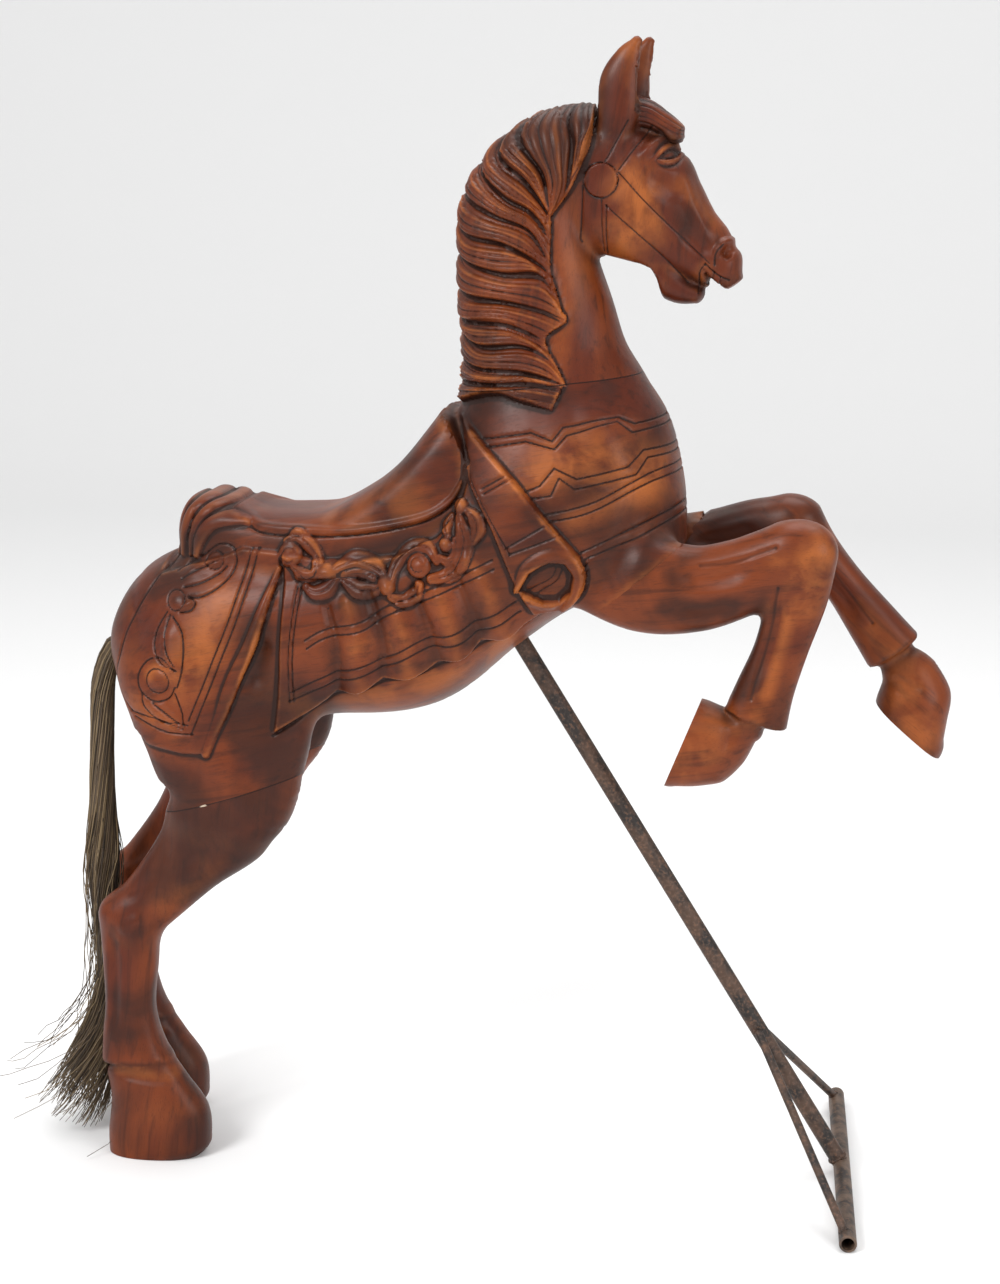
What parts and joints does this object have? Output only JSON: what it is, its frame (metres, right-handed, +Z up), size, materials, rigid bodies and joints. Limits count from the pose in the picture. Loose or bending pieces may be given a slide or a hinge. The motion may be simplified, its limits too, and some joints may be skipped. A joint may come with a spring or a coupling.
{
  "type": "carousel horse",
  "caption": "Rearing carved wooden carousel horse with saddle, draped cloth and horsehair tail, propped on a steel pipe stand.",
  "frame": {"origin": "on the ground, under the middle of the object's bounding box", "axes": "+X the way the horse faces, +Z up, its near side is -Y"},
  "size_m": [1.1935, 0.4702, 1.4106],
  "materials": {
    "carved_wood": "satin varnish over a dark red-brown stain, worn to orange on the high parts",
    "horsehair": "loose hair, dull",
    "steel": "dark, worn and lightly rusted"
  },
  "bodies": {
    "root": {"trunk": "carved_wood", "head_neck": "carved_wood", "foreleg_near": "carved_wood", "foreleg_far": "carved_wood", "hind_leg_near": "carved_wood", "hind_leg_far": "carved_wood", "tail": "horsehair", "prop_rod": "steel", "foot_pipe": "steel", "brace_near": "steel", "brace_far": "steel"}
  },
  "joints": []
}
